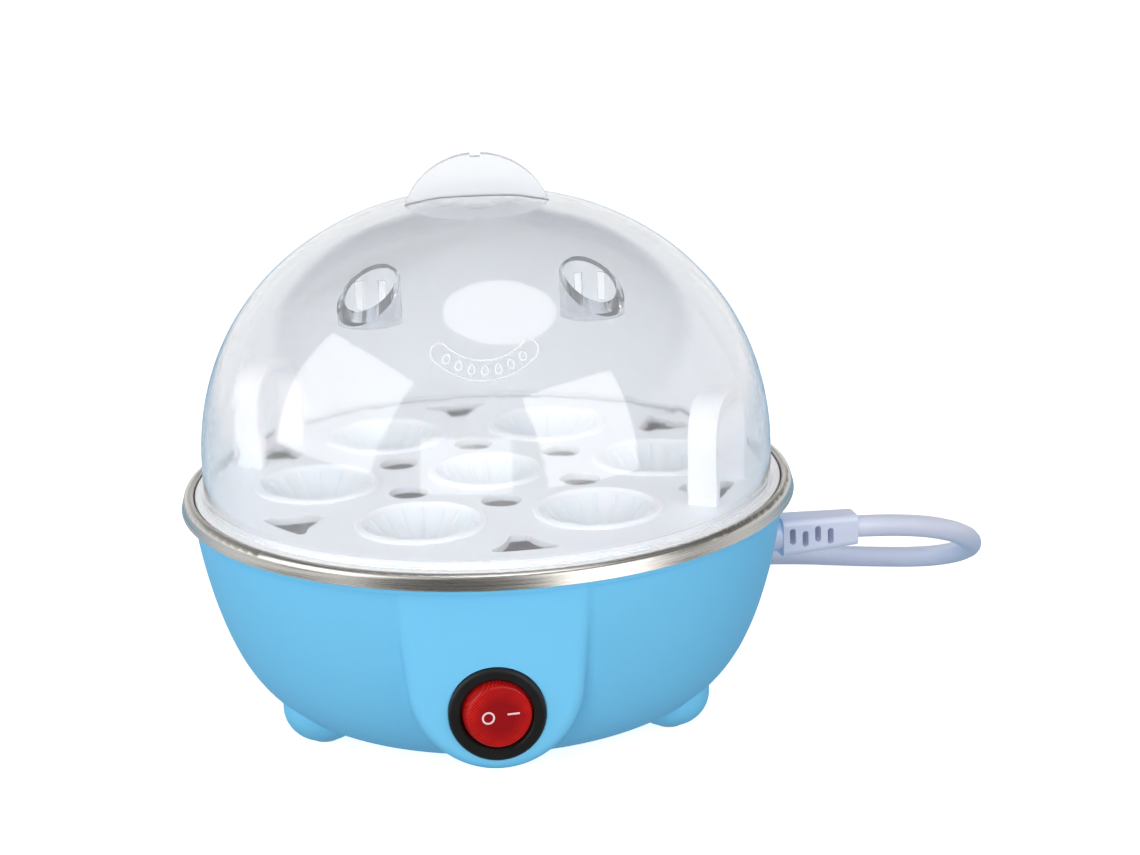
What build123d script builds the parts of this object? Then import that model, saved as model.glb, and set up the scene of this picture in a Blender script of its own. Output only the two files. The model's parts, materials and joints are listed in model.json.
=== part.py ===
from build123d import *

import math
import os

# Seven-egg steam cooker.  Millimetres, +Z up.  The origin is on the surface that the cooker
# stands on, under the axis of its round body.  The switch faces -Y, the lead leaves towards +X.

os.makedirs("parts", exist_ok=True)

# ---- driving dimensions -------------------------------------------------------------------

rim_radius = 80.0  # outer edge of the rolled steel rim
rim_z = 58.5  # height of that edge
sheet = 0.8  # stainless sheet of the pan
wall = 2.4  # moulded wall of the housing

# housing bowl, a superellipse of revolution cut off flat at its underside
bowl_radius = 77.1
bowl_top_z = 57.4
bowl_depth = 55.9
bowl_side_power = 2 / 7.0
bowl_base_power = 2 / 1.28
bowl_base_z = 4.3
floor_z = 8.6  # inner floor of the housing
lip_radius = 78.7
lip_bottom_z = 56.2
lip_top_z = 58.3

# switch lobe on the front of the bowl
lobe_front_y = -76.9
lobe_curve_radius = 100.0
lobe_round_radius = 21.5
lobe_round_z = 31.3
lobe_top_half_width = 24.5
lobe_top_z = 57.0
lobe_edge_radius = 3.2
lobe_root_radius = 3.5

# feet, moulded with the housing, and their pads
foot_ring_radius = 51.5
foot_angles = (60, 180, 300)
foot_radius = 10.5
foot_edge_radius = 8.8
foot_z = 0.4
pad_radius = 3.4
pad_height = 1.6

# underside cover and the screws that clamp it, the housing and the pan together
cover_radius = 46.7
cover_bottom_z = 4.5
cover_top_z = 6.4
post_ring_radius = 41.5
post_angles = (30, 150, 270)
post_radius = 3.6
screw_radius = 1.45
screw_clearance = 0.15

# pan
pan_floor_z = 34.5
pan_floor_radius = 45.5
pan_ledge_z = 59.1
pan_ledge_radius = 68.5
pan_recess_radius = 76.7

# egg tray
deck_z = 62.5
deck_sheet = 1.8
deck_radius = 72.1
flange_radius = 76.4
flange_z = 61.1
pocket_ring_radius = 44.5
pocket_phase = 37.5
outer_lip_radius = 16.4
centre_lip_radius = 15.4
pocket_depth = 7.4
hole_ring_radius = 25.5
hole_radius = 5.2
hole_phase = 7.5
handle_ring_radius = 63.0
handle_angles = (67.5, 247.5)
handle_width = 26.6
handle_height = 27.0
handle_band = 7.3
handle_sheet = 2.5
handle_round = 10.5

# lid
lid_radius = 74.1
lid_skirt_z = 68.5
lid_rise = 67.7
lid_power = 2 / 2.13
lid_sheet = 1.6
lid_bottom_z = 61.2
tab_radius = 19.7
tab_top_z = 147.2
tab_sheet = 2.8
vent_x = 27.0
vent_y = -38.1
vent_radius = 6.9
vent_floor_z = 114.4
vent_sheet = 0.95

# rocker switch
switch_z = 25.0
switch_seat_y = -76.0
bezel_radius = 11.9
bezel_height = 1.9
barrel_radius = 9.8
barrel_depth = 16.0
rocker_opening = 8.85
rocker_ball = 8.6
rocker_face = 7.7
rocker_tilt = 10.0
hinge_y = -75.2

# heating plate parts under the pan
spreader_radius = 37.0
spreader_top_z = pan_floor_z - sheet
spreader_bottom_z = spreader_top_z - 2.0
element_ring = 27.0
element_radius = 3.25
element_z = spreader_bottom_z - element_radius - 0.05
element_gap = 60.0

# lead
cord_radius = 3.0
relief_angle = 12.0  # from +X towards +Y
relief_z = 36.0
relief_inner = 67.2  # where its inner flange starts, from the body's axis
relief_neck = 13.6
relief_block = 79.6
relief_tip = 101.0
coil_x = 30.0
coil_y = 132.0
coil_mid_radius = 33.0
coil_half_width = 6.0
coil_height = 11.2
coil_stub = 34.0
plug_z = 9.0

route = [
    (98.79, 21.0, 36.0),
    (114.0, 24.5, 35.0),
    (131.0, 36.0, 28.0),
    (138.0, 55.0, 17.0),
    (130.0, 76.0, 7.0),
    (112.0, 90.0, 3.0),
    (88.0, 96.0, 3.0),
    (64.0, 96.0, 3.0),
]


# ---- helpers --------------------------------------------------------------------------------


def around(angle, radius):
    """Point of the plan at an angle in degrees from the front, turning towards +X."""
    turn = math.radians(angle)
    return (radius * math.sin(turn), -radius * math.cos(turn))


# Local +Z runs out of the housing along the lead's exit, local +X is down.
relief_axis = Location((0, 0, relief_z), (0, 0, relief_angle)) * Location((0, 0, 0), (0, 90, 0))


def save(builder, name):
    builder.part.label = name
    export_step(builder.part, f"parts/{name}.step")


def bowl_curve(radius, depth, last):
    """Points of the bowl's profile from its top edge down to parameter last, in degrees."""
    points = []
    for share in (0, 0.2, 0.4, 0.6, 0.8, 0.93, 1):
        t = math.radians(share * last)
        r = radius * math.cos(t) ** bowl_side_power
        points.append((r, bowl_top_z - depth * math.sin(t) ** bowl_base_power))
    return points


def bowl_end(depth, z):
    """Parameter at which the bowl's profile has come down to height z."""
    return math.degrees(math.asin(((bowl_top_z - z) / depth) ** (1 / bowl_base_power)))


def lobe(inset, edge_radius):
    """Solid of the switch lobe, drawn in by inset on every side, its front edge rounded."""
    with BuildPart() as form:
        with BuildSketch(Plane.XZ.offset(52)):
            with BuildLine():
                CenterArc((0, lobe_round_z), lobe_round_radius - inset, 180, 180)
                half = lobe_top_half_width - inset
                Line((-half, lobe_top_z), (half, lobe_top_z))
            make_hull()
        extrude(amount=30)
        radius = lobe_curve_radius - inset
        with Locations((0, lobe_front_y + lobe_curve_radius, 0)):
            Cylinder(radius, 200, mode=Mode.INTERSECT)
        front = form.faces().filter_by(GeomType.CYLINDER).sort_by(Axis.Y)[0]
        fillet(front.edges().sort_by(Axis.Z)[:-1], edge_radius)
    return form


def rod(points, radius, bends):
    """Round rod along straight runs joined by arcs of the given radii."""
    with BuildPart() as form:
        with BuildLine():
            path = FilletPolyline(*points, radius=bends)
        with BuildSketch(Plane(origin=path @ 0, z_dir=path % 0)):
            Circle(radius)
        sweep(path=path)
    return form


# ---- housing --------------------------------------------------------------------------------

bowl_points = bowl_curve(bowl_radius, bowl_depth, bowl_end(bowl_depth, bowl_base_z))
inner_depth = bowl_depth - 2.6
inner_points = bowl_curve(bowl_radius - wall, inner_depth, bowl_end(inner_depth, floor_z))

with BuildPart() as housing_void:
    with BuildSketch(Plane.XZ):
        with BuildLine():
            Line((0, floor_z), inner_points[-1])
            Spline(*reversed(inner_points))
            Polyline(inner_points[0], (bowl_radius - wall, lip_top_z), (0, lip_top_z), (0, floor_z))
        make_face()
    revolve(axis=Axis.Z)
    add(lobe(wall, 1.0).part)

with BuildPart() as housing:
    with BuildSketch(Plane.XZ):
        with BuildLine():
            Line((0, bowl_base_z), bowl_points[-1])
            Spline(*reversed(bowl_points))
            Polyline(bowl_points[0], (bowl_radius, lip_top_z), (0, lip_top_z), (0, bowl_base_z))
        make_face()
    revolve(axis=Axis.Z)
    add(lobe(0, lobe_edge_radius).part)
    bowl_face = housing.faces().filter_by(GeomType.REVOLUTION).sort_by(SortBy.AREA)[-1]
    fillet(
        [e for e in bowl_face.edges() if e.center().Y < -50 and 5 < e.center().Z < 56.5],
        lobe_root_radius,
    )
    with Locations(Plane.XY.offset(lip_bottom_z)):
        Cylinder(
            lip_radius, lip_top_z - lip_bottom_z, align=(Align.CENTER, Align.CENTER, Align.MIN)
        )
    fillet(housing.edges().filter_by(GeomType.CIRCLE).group_by(Axis.Z)[-1], 0.5)
    with BuildPart(mode=Mode.PRIVATE) as foot:
        Cylinder(foot_radius, 18, align=(Align.CENTER, Align.CENTER, Align.MIN))
        fillet(foot.edges().filter_by(GeomType.CIRCLE).group_by(Axis.Z)[0], foot_edge_radius)
    for angle in foot_angles:
        with Locations((*around(angle, foot_ring_radius), foot_z)):
            add(foot.part)
    add(housing_void.part, mode=Mode.SUBTRACT)
    Cylinder(36, 40, mode=Mode.SUBTRACT)
    with Locations((0, 0, cover_top_z)):
        Cylinder(
            cover_radius + 0.2,
            cover_top_z + 1,
            align=(Align.CENTER, Align.CENTER, Align.MAX),
            mode=Mode.SUBTRACT,
        )
    for angle in post_angles:
        with Locations((*around(angle, post_ring_radius), floor_z)):
            Cylinder(screw_radius + screw_clearance, 10, mode=Mode.SUBTRACT)
    for angle in foot_angles:
        with Locations((*around(angle, foot_ring_radius), 0)):
            Cylinder(pad_radius, 2 * pad_height, mode=Mode.SUBTRACT)
    with Locations(Location((0, switch_seat_y, switch_z), (90, 0, 0))):
        Cylinder(
            bezel_radius + 0.2, 6, align=(Align.CENTER, Align.CENTER, Align.MIN), mode=Mode.SUBTRACT
        )
        Cylinder(barrel_radius + 0.1, 12, mode=Mode.SUBTRACT)
    with BuildSketch(Plane.XY.offset(lip_top_z)):
        Circle(76.1)
        Circle(75.1, mode=Mode.SUBTRACT)
    extrude(amount=-0.8, mode=Mode.SUBTRACT)
    with Locations(relief_axis):
        Cylinder(4.5, 90, align=(Align.CENTER, Align.CENTER, Align.MIN), mode=Mode.SUBTRACT)
save(housing, "housing")

with BuildPart() as rim_gasket:
    with BuildSketch(Plane.XY.offset(lip_top_z)):
        Circle(76.1)
        Circle(75.1, mode=Mode.SUBTRACT)
    extrude(amount=-0.8)
save(rim_gasket, "rim_gasket")

with BuildPart() as foot_pads:
    for angle in foot_angles:
        with Locations((*around(angle, foot_ring_radius), 0)):
            Cylinder(pad_radius, pad_height, align=(Align.CENTER, Align.CENTER, Align.MIN))
    fillet(foot_pads.edges().group_by(Axis.Z)[0], 0.3)
save(foot_pads, "foot_pads")

# ---- underside ------------------------------------------------------------------------------

with BuildPart() as bottom_cover:
    with BuildSketch(Plane.XY.offset(cover_bottom_z)):
        Circle(cover_radius)
        for angle in post_angles:
            with Locations(around(angle, post_ring_radius)):
                Circle(screw_radius + screw_clearance, mode=Mode.SUBTRACT)
        with PolarLocations(22, 9):
            SlotOverall(16, 3, mode=Mode.SUBTRACT)
    extrude(amount=cover_top_z - cover_bottom_z)
save(bottom_cover, "bottom_cover")

with BuildPart() as pan_posts:
    for angle in post_angles:
        with Locations((*around(angle, post_ring_radius), floor_z)):
            Cylinder(
                post_radius, pan_floor_z - sheet - floor_z, align=(Align.CENTER, Align.CENTER, Align.MIN)
            )
            Cylinder(screw_radius + screw_clearance, 24, mode=Mode.SUBTRACT)
save(pan_posts, "pan_posts")

with BuildPart() as cover_screws:
    for angle in post_angles:
        with Locations((*around(angle, post_ring_radius), cover_bottom_z)):
            Cylinder(screw_radius, 14, align=(Align.CENTER, Align.CENTER, Align.MIN))
            Cylinder(3.0, 1.8, align=(Align.CENTER, Align.CENTER, Align.MAX))
    fillet(cover_screws.edges().group_by(Axis.Z)[0], 0.7)
    for angle in post_angles:
        head = Location((*around(angle, post_ring_radius), cover_bottom_z - 1.8), (0, 0, angle))
        with Locations(head):
            Box(3.4, 0.7, 1.6, mode=Mode.SUBTRACT)
            Box(0.7, 3.4, 1.6, mode=Mode.SUBTRACT)
save(cover_screws, "cover_screws")

# ---- pan and heating parts ------------------------------------------------------------------

slope = math.atan2(pan_ledge_z - pan_floor_z, pan_ledge_radius - pan_floor_radius)
slope_shift = sheet * math.tan(slope / 2)
with BuildPart() as heating_pan:
    with BuildSketch(Plane.XZ):
        with BuildLine():
            top = FilletPolyline(
                (0, pan_floor_z),
                (pan_floor_radius, pan_floor_z),
                (pan_ledge_radius, pan_ledge_z),
                (pan_recess_radius, pan_ledge_z),
                (pan_recess_radius, rim_z + 3.0),
                (rim_radius - 0.9, rim_z + 2.6),
                (rim_radius, rim_z - 0.9),
                radius=[9, 2.5, 0.6, 1.0, 1.7],
            )
            under = FilletPolyline(
                (0, pan_floor_z - sheet),
                (pan_floor_radius + slope_shift, pan_floor_z - sheet),
                (pan_ledge_radius + slope_shift, pan_ledge_z - sheet),
                (pan_recess_radius + sheet, pan_ledge_z - sheet),
                (pan_recess_radius + sheet, rim_z + 2.15),
                (rim_radius - 1.5, rim_z + 1.95),
                (rim_radius - sheet, rim_z - 0.9),
                radius=[9.8, 1.7, 1.4, 0.25, 0.9],
            )
            Line(top @ 0, under @ 0)
            Line(top @ 1, under @ 1)
        make_face()
    revolve(axis=Axis.Z)
save(heating_pan, "heating_pan")

stud_places = [(-12.5, 0), (12.5, 0)]
with BuildPart() as heat_spreader:
    with BuildSketch(Plane.XY.offset(spreader_bottom_z)):
        Circle(spreader_radius)
    extrude(amount=spreader_top_z - spreader_bottom_z)
    with Locations(*[(x, y, spreader_bottom_z) for x, y in stud_places]):
        Cylinder(screw_radius + screw_clearance, 2.6, mode=Mode.SUBTRACT)
save(heat_spreader, "heat_spreader")

end_angle = math.radians(90 - element_gap / 2)
element_ends = [
    (side * element_ring * math.cos(end_angle), element_ring * math.sin(end_angle))
    for side in (-1, 1)
]
with BuildPart() as heating_element:
    start = math.radians(90 + element_gap / 2)
    start_out = (math.cos(start), math.sin(start), 0)
    with BuildSketch(Plane(origin=(0, 0, 0), x_dir=start_out, z_dir=(start_out[1], -start_out[0], 0))):
        with Locations((element_ring, element_z)):
            Circle(element_radius)
    revolve(axis=Axis.Z, revolution_arc=360 - element_gap)
    for x, y in element_ends:
        with Locations((x, y, element_z)):
            Sphere(element_radius + 0.04)
            Cylinder(element_radius, 9, align=(Align.CENTER, Align.CENTER, Align.MAX))
save(heating_element, "heating_element")

seal_top_z = element_z - 9
with BuildPart() as element_seals:
    with Locations(*[(x, y, seal_top_z) for x, y in element_ends]):
        Cylinder(2.5, 2, align=(Align.CENTER, Align.CENTER, Align.MAX))
save(element_seals, "element_seals")

element_tip_z = seal_top_z - 7.5
with BuildPart() as element_terminals:
    with Locations(*[(x, y, seal_top_z - 2) for x, y in element_ends]):
        Box(4.8, 0.8, 5.5, align=(Align.CENTER, Align.CENTER, Align.MAX))
save(element_terminals, "element_terminals")

thermostat_tip_z = 13.0
with BuildPart() as thermostat:
    with Locations((0, 0, spreader_bottom_z)):
        Cylinder(8, 7, align=(Align.CENTER, Align.CENTER, Align.MAX))
    with Locations((0, 0, spreader_bottom_z - 7)):
        Cylinder(5.5, 4.4, align=(Align.CENTER, Align.CENTER, Align.MAX))
    with Locations((-3.5, 0, thermostat_tip_z), (3.5, 0, thermostat_tip_z)):
        Box(0.8, 4.8, 8, align=(Align.CENTER, Align.CENTER, Align.MIN))
save(thermostat, "thermostat")

with BuildPart() as thermostat_bracket:
    with BuildSketch(Plane.XY.offset(spreader_bottom_z - 8)):
        RectangleRounded(33, 15, 4)
        Circle(5.7, mode=Mode.SUBTRACT)
        with Locations(*stud_places):
            Circle(screw_radius + screw_clearance, mode=Mode.SUBTRACT)
    extrude(amount=1)
save(thermostat_bracket, "thermostat_bracket")

with BuildPart() as bracket_screws:
    with Locations(*[(x, y, spreader_bottom_z - 8) for x, y in stud_places]):
        Cylinder(screw_radius, 9.2, align=(Align.CENTER, Align.CENTER, Align.MIN))
        Cylinder(2.8, 1.8, align=(Align.CENTER, Align.CENTER, Align.MAX))
    fillet(bracket_screws.edges().group_by(Axis.Z)[0], 0.6)
save(bracket_screws, "bracket_screws")

fuse_y = 15.5
fuse_z = 29.2
fuse_tip_x = 11.0
with BuildPart() as thermal_fuse:
    with Locations(Location((0, fuse_y, fuse_z), (0, 90, 0))):
        Cylinder(2.0, 11)
        Cylinder(0.5, 2 * fuse_tip_x)
save(thermal_fuse, "thermal_fuse")

with BuildPart() as fuse_clip:
    with Locations((0, fuse_y, spreader_bottom_z)):
        Box(5, 6.4, 5.4, align=(Align.CENTER, Align.CENTER, Align.MAX))
    with Locations(Location((0, fuse_y, fuse_z), (0, 90, 0))):
        Cylinder(2.1, 20, mode=Mode.SUBTRACT)
    with Locations((0, fuse_y, spreader_bottom_z)):
        Box(20, 4.2, 5, mode=Mode.SUBTRACT)
save(fuse_clip, "fuse_clip")

# ---- switch ---------------------------------------------------------------------------------

facing_front = Location((0, switch_seat_y, switch_z), (90, 0, 0))
# Local +Z is out of the rocker's face, which leans to +X while the switch is on.
rocker_place = Location((0, hinge_y, switch_z), (0, 0, rocker_tilt)) * Location((0, 0, 0), (90, 0, 0))
with BuildPart() as switch_body:
    with Locations(facing_front):
        Cylinder(bezel_radius, bezel_height, align=(Align.CENTER, Align.CENTER, Align.MIN))
    fillet(switch_body.edges().filter_by(GeomType.CIRCLE).group_by(Axis.Y)[0], 1.0)
    with Locations(facing_front):
        Cylinder(barrel_radius, barrel_depth, align=(Align.CENTER, Align.CENTER, Align.MAX))
        Cylinder(rocker_opening, 2 * 12.0, mode=Mode.SUBTRACT)
    rim_edge = switch_body.edges().filter_by(GeomType.CIRCLE).group_by(Axis.Y)[0]
    chamfer(rim_edge.sort_by(SortBy.RADIUS)[0], 0.5)
save(switch_body, "switch_body")

with BuildPart() as switch_rocker:
    with Locations((0, hinge_y, switch_z)):
        Sphere(rocker_ball)
    face_depth = math.sqrt(rocker_ball**2 - rocker_face**2)
    with Locations(rocker_place * Location((0, 0, face_depth))):
        Box(30, 30, 20, align=(Align.CENTER, Align.CENTER, Align.MIN), mode=Mode.SUBTRACT)
    with Locations(rocker_place * Location((0, 0, -5.5))):
        Box(30, 30, 20, align=(Align.CENTER, Align.CENTER, Align.MAX), mode=Mode.SUBTRACT)
    fillet(switch_rocker.edges().filter_by(GeomType.CIRCLE).group_by(Axis.Y)[0], 0.5)
    with Locations((0, hinge_y, switch_z)):
        Cylinder(0.8, 40, mode=Mode.SUBTRACT)
    with Locations(rocker_place * Location((0, 0, -5.6))):
        Box(8, 8, 4.6, align=(Align.CENTER, Align.CENTER, Align.MIN), mode=Mode.SUBTRACT)
save(switch_rocker, "switch_rocker")

with BuildPart() as rocker_pin:
    with Locations((0, hinge_y, switch_z)):
        Cylinder(0.75, 2 * 8.8)
save(rocker_pin, "rocker_pin")

lamp_y = switch_seat_y + 9.0
with BuildPart() as switch_lamp:
    with Locations(Location((0, lamp_y, switch_z), (0, 90, 0))):
        Cylinder(1.6, 9)
    fillet(switch_lamp.edges().filter_by(GeomType.CIRCLE), 0.8)
save(switch_lamp, "switch_lamp")

terminal_tip_y = -51.0
terminal_length = terminal_tip_y - switch_seat_y - barrel_depth
terminal_places = (-6.0, 0.0, 6.0)
with BuildPart() as switch_terminals:
    for x in terminal_places:
        with Locations((x, terminal_tip_y, switch_z)):
            Box(0.8, terminal_length, 4.8, align=(Align.CENTER, Align.MAX, Align.CENTER))
save(switch_terminals, "switch_terminals")

# ---- strain relief, inner lead and wires ----------------------------------------------------

with BuildPart() as strain_relief:
    with Locations(relief_axis * Location((0, 0, relief_inner))):
        Cylinder(5.6, 1.6, align=(Align.CENTER, Align.CENTER, Align.MIN))
        Cylinder(4.3, relief_neck, align=(Align.CENTER, Align.CENTER, Align.MIN))
    with BuildSketch(Plane(relief_axis * Location((0, 0, relief_block)))):
        RectangleRounded(10.4, 9.4, 1.8)
    with BuildSketch(Plane(relief_axis * Location((0, 0, relief_tip)))):
        RectangleRounded(8.6, 8.0, 1.8)
    loft()
    with BuildPart(mode=Mode.PRIVATE) as flex_slot:
        Box(4.4, 20, 1.7)
        fillet(flex_slot.edges().filter_by(Axis.Y), 0.8)
    for index in range(4):
        level = 0.5 if index % 2 else -0.5
        with Locations(relief_axis * Location((level, 0, relief_block + 2.6 + index * 3.6))):
            add(flex_slot.part, mode=Mode.SUBTRACT)
save(strain_relief, "strain_relief")

inner_lead_points = [
    (65.73, 13.97, 36.0),
    (59.0, 12.54, 36.0),
    (54.0, 8.0, 22.0),
    (49.0, 0.0, 11.7),
    (37.0, 0.0, 11.7),
]
inner_lead = rod(inner_lead_points, cord_radius, [4.5, 9, 7])
save(inner_lead, "inner_lead")

with BuildPart() as cord_clamp:
    with Locations((42.0, 0, floor_z)):
        Box(6, 18, 7.4, align=(Align.CENTER, Align.CENTER, Align.MIN))
    with Locations(Location((42.0, 0, 11.7), (0, 90, 0))):
        Cylinder(cord_radius + 0.1, 10, mode=Mode.SUBTRACT)
    with Locations((42.0, 0, floor_z)):
        Box(
            10,
            2 * (cord_radius + 0.1),
            3.1,
            align=(Align.CENTER, Align.CENTER, Align.MIN),
            mode=Mode.SUBTRACT,
        )
    with Locations((42.0, -6.2, 12), (42.0, 6.2, 12)):
        Cylinder(1.35, 30, mode=Mode.SUBTRACT)
    fillet(cord_clamp.edges().filter_by(Axis.X).group_by(Axis.Z)[-1], 1.5)
save(cord_clamp, "cord_clamp")

with BuildPart() as clamp_screws:
    with Locations((42.0, -6.2, floor_z + 7.4), (42.0, 6.2, floor_z + 7.4)):
        Cylinder(1.25, 7.2, align=(Align.CENTER, Align.CENTER, Align.MAX))
        Cylinder(2.3, 1.5, align=(Align.CENTER, Align.CENTER, Align.MIN))
save(clamp_screws, "clamp_screws")

wire_radius = 1.1
crimp_x = 27.0
with BuildPart() as neutral_crimp:
    with Locations(Location((crimp_x, 2.2, 11.7), (0, 90, 0))):
        Cylinder(2.2, 6, align=(Align.CENTER, Align.CENTER, Align.MIN))
    fillet(neutral_crimp.edges().group_by(Axis.X)[0], 0.3)
save(neutral_crimp, "neutral_crimp")

left_end, right_end = element_ends
wires = {
    "wire_live": (
        [(37, -1.6, 11.7), (33, -1.6, 11.7), (24, -16, 12), (14, -34, 18), (6, -44, 25), (6, -51, 25)],
        [2, 8, 8, 4],
    ),
    "wire_lamp": (
        [(27, 1.1, 11.7), (22, 1.1, 11.7), (12, -14, 14.5), (0, -39, 19), (0, -45, 25), (0, -51, 25)],
        [4, 8, 2.5, 2.5],
    ),
    "wire_switched": (
        [(-6, -51, 25), (-6, -46, 25), (-5, -26, 11), (-3.5, 0, 9.4), (-3.5, 0, 13)],
        [4, 8, 2.2],
    ),
    "wire_thermostat": (
        [(3.5, 0, 13), (3.5, 0, 9.4), (10, 8, 9.4), (15, 15.5, 14), (15, 15.5, 29.2), (11, 15.5, 29.2)],
        [2.2, 4, 2.5, 2],
    ),
    "wire_fuse": (
        [
            (-11, 15.5, 29.2),
            (-15, 15.5, 29.2),
            (-15, 15.5, 8.8),
            (left_end[0], left_end[1], 8.8),
            (left_end[0], left_end[1], element_tip_z),
        ],
        [2, 2, 1.6],
    ),
    "wire_element": (
        [
            (right_end[0], right_end[1], element_tip_z),
            (right_end[0], right_end[1], 8.8),
            (20, 13, 9.2),
            (22, 3.3, 11.7),
            (27, 3.3, 11.7),
        ],
        [1.6, 3, 2.5],
    ),
}
for name, (points, bends) in wires.items():
    save(rod(points, wire_radius, bends), name)

with BuildPart() as wire_neutral:
    with Locations(Location((crimp_x + 6, 1.8, 11.7), (0, 90, 0))):
        Cylinder(wire_radius, 4, align=(Align.CENTER, Align.CENTER, Align.MIN))
save(wire_neutral, "wire_neutral")

# ---- free lead ------------------------------------------------------------------------------


def bend_radii(points):
    """The largest arc that each corner of the lead's route allows."""
    radii = []
    for before, here, after in zip(points, points[1:], points[2:]):
        arriving = Vector(*here) - Vector(*before)
        leaving = Vector(*after) - Vector(*here)
        turn = math.radians(arriving.get_angle(leaving))
        radii.append(0.45 * min(arriving.length, leaving.length) / math.tan(turn / 2))
    return radii


cord_bends = bend_radii(route)
cord_tube = rod(route, cord_radius, cord_bends)
print("lead bend radii", [round(radius, 1) for radius in cord_bends])
print("lead tube length", round(cord_tube.part.volume / (math.pi * cord_radius**2), 1))
save(cord_tube, "cord_tube")

tie_width = 8.0
tie_sheet = 0.8
tie_slack = 0.45
tie_plane = Plane(
    origin=(coil_x, coil_y + coil_mid_radius, 0), x_dir=(0, 1, 0), z_dir=(1, 0, 0)
)
with BuildPart() as cord_tie:
    with BuildSketch(tie_plane):
        with Locations((0, 0)):
            Rectangle(
                2 * (coil_half_width + tie_slack + tie_sheet),
                coil_height + tie_sheet,
                align=(Align.CENTER, Align.MIN),
            )
        with Locations((0, tie_sheet)):
            Rectangle(
                2 * (coil_half_width + tie_slack),
                coil_height - tie_sheet,
                align=(Align.CENTER, Align.MIN),
                mode=Mode.SUBTRACT,
            )
    extrude(amount=tie_width / 2, both=True)
save(cord_tie, "cord_tie")

with BuildPart() as cord_coil:
    with BuildSketch(Plane.XZ.offset(-coil_y)):
        with Locations((coil_x + coil_mid_radius, coil_height / 2)):
            RectangleRounded(2 * coil_half_width, coil_height, 2.9)
    revolve(axis=Axis((coil_x, coil_y, 0), (0, 0, 1)))
    with Locations(Location((coil_x, coil_y - coil_mid_radius - cord_radius, cord_radius), (0, 90, 0))):
        Cylinder(cord_radius, coil_stub, align=(Align.CENTER, Align.CENTER, Align.MIN))
    with Locations(Location((coil_x, coil_y - coil_mid_radius, plug_z), (0, -90, 0))):
        Cylinder(cord_radius, coil_stub, align=(Align.CENTER, Align.CENTER, Align.MIN))
    with Locations((coil_x, coil_y + coil_mid_radius, 0)):
        Box(
            tie_width + 0.1,
            2 * coil_half_width + 4,
            tie_sheet,
            align=(Align.CENTER, Align.CENTER, Align.MIN),
            mode=Mode.SUBTRACT,
        )
save(cord_coil, "cord_coil")

plug_x = coil_x - coil_stub
plug_y = coil_y - coil_mid_radius
plug_tail = ((0, 8.4, 8.4, 3), (18, 10.4, 10.4, 3))
plug_grip = ((18, 16.0, 14.0, 4), (50, 24.0, 17.6, 5))
with BuildPart() as plug_body:
    for ends in (plug_tail, plug_grip):
        for distance, across, high, corner in ends:
            face = Plane(
                origin=(plug_x - distance, plug_y, plug_z), x_dir=(0, 1, 0), z_dir=(-1, 0, 0)
            )
            with BuildSketch(face):
                RectangleRounded(across, high, corner)
        loft()
save(plug_body, "plug_body")

blade_pitch = 12.7
with BuildPart() as plug_blades:
    for side in (-0.5, 0.5):
        with Locations((plug_x - 50, plug_y + side * blade_pitch, plug_z)):
            Box(17.0, 1.5, 6.35, align=(Align.MAX, Align.CENTER, Align.CENTER))
    fillet(plug_blades.edges().filter_by(Axis.Y).group_by(Axis.X)[0], 1.0)
save(plug_blades, "plug_blades")

# ---- egg tray -------------------------------------------------------------------------------


def funnel(lip_radius):
    """Conical egg pocket with a raised lip, its deck level at height zero."""
    with BuildPart() as form:
        with BuildSketch(Plane.XZ):
            with BuildLine():
                Polyline(
                    (lip_radius, -deck_sheet),
                    (lip_radius, 0.5),
                    (lip_radius - 0.5, 0.9),
                    (lip_radius - 1.6, 0.9),
                    (lip_radius - 2.2, 0.0),
                    (7.0, -pocket_depth + 0.6),
                    (7.0, -pocket_depth - 0.6),
                    (8.3, -pocket_depth - 0.6),
                    (lip_radius - 2.6, -deck_sheet),
                    close=True,
                )
            make_face()
        revolve(axis=Axis.Z)
    return form


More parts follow.
